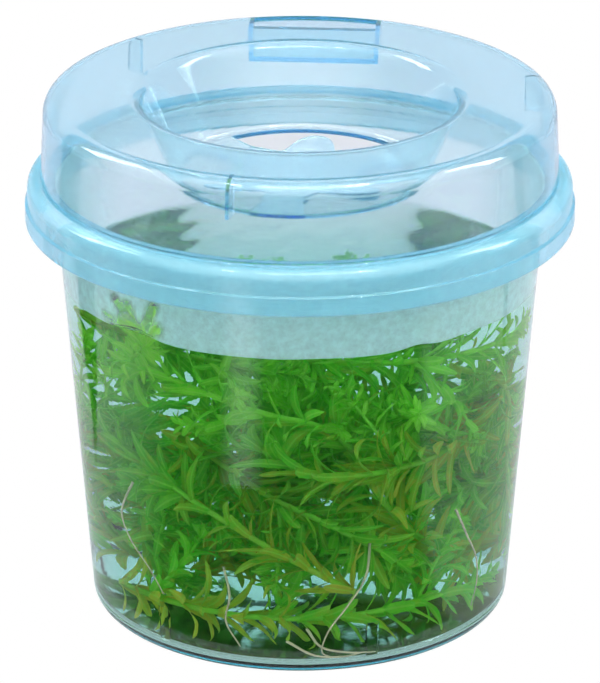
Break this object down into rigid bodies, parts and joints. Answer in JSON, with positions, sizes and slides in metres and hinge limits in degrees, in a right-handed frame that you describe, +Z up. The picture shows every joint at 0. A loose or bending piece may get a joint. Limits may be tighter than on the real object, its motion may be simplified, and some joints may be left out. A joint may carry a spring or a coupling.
{
  "type": "brazilian waterweed in a lidded tub of water",
  "caption": "Tangle of leafy brazilian waterweed shoots in a round clear tub of water, with a blue domed lid that has a vented dish.",
  "frame": {"origin": "on the surface that the tub stands on, at the tub's axis", "axes": "+Z up along the tub's axis; -Y is the front, and +X is to the right of someone who looks at the front"},
  "size_m": [0.183, 0.183, 0.1789],
  "materials": {
    "tub_plastic": "clear, faintly blue, glossy",
    "lid_plastic": "clear sky blue, glossy",
    "water": "clear, faintly green",
    "young_leaf": "wet, thin, bright green leaf",
    "old_leaf": "wet, thin, darker and more olive leaf"
  },
  "bodies": {
    "root": {"tub": "tub_plastic", "lid": "lid_plastic", "water": "water", "water_surface": "water", "shoot_01": "young_leaf", "shoot_02": "old_leaf", "shoot_03": "young_leaf", "shoot_04": "old_leaf", "shoot_05": "young_leaf", "shoot_06": "old_leaf", "shoot_07": "young_leaf", "shoot_08": "old_leaf", "shoot_09": "young_leaf", "shoot_10": "old_leaf", "shoot_11": "young_leaf", "shoot_12": "old_leaf", "shoot_13": "young_leaf", "shoot_14": "old_leaf", "shoot_15": "young_leaf", "shoot_16": "old_leaf", "shoot_17": "young_leaf", "shoot_18": "old_leaf", "shoot_19": "young_leaf", "shoot_20": "old_leaf", "shoot_21": "young_leaf", "shoot_22": "old_leaf"}
  },
  "joints": []
}
